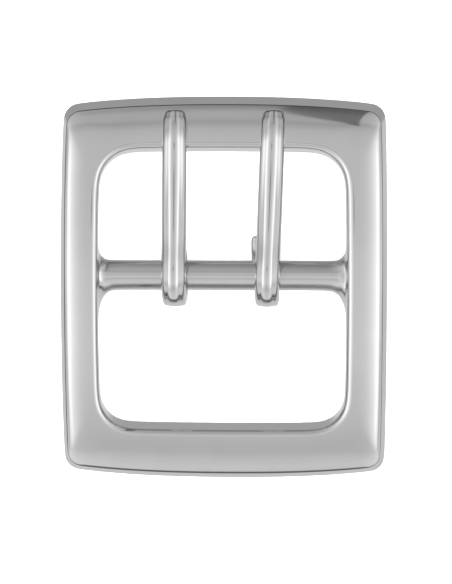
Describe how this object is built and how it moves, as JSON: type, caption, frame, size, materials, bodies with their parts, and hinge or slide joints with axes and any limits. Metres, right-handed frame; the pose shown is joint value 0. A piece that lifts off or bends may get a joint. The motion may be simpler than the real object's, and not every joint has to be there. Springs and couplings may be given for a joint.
{
  "type": "belt buckle",
  "caption": "Arched rectangular metal belt buckle with a centre bar and paired prongs that swing on it.",
  "frame": {"origin": "centre of the footprint, on the surface that the buckle's back rests on", "axes": "+Z out of the face, +Y the way the prongs point, +X to the right seen from the face"},
  "size_m": [0.0524, 0.0616, 0.0091],
  "materials": {
    "frame_nickel": "polished nickel plate over a casting",
    "prong_nickel": "polished nickel plate over steel strip"
  },
  "bodies": {
    "frame": {"frame": "frame_nickel"},
    "prong_left": {"prong_left": "prong_nickel"},
    "prong_right": {"prong_right": "prong_nickel"}
  },
  "joints": [
    {"name": "prong_left_hinge", "type": "hinge", "parent": "frame", "child": "prong_left", "pos_m": [-0.0078, 0.0021, 0.00425], "axis": [1, 0, 0], "range_deg": [0, 167]},
    {"name": "prong_right_hinge", "type": "hinge", "parent": "frame", "child": "prong_right", "pos_m": [0.00712, 0.0021, 0.00425], "axis": [1, 0, 0], "range_deg": [0, 167]}
  ]
}
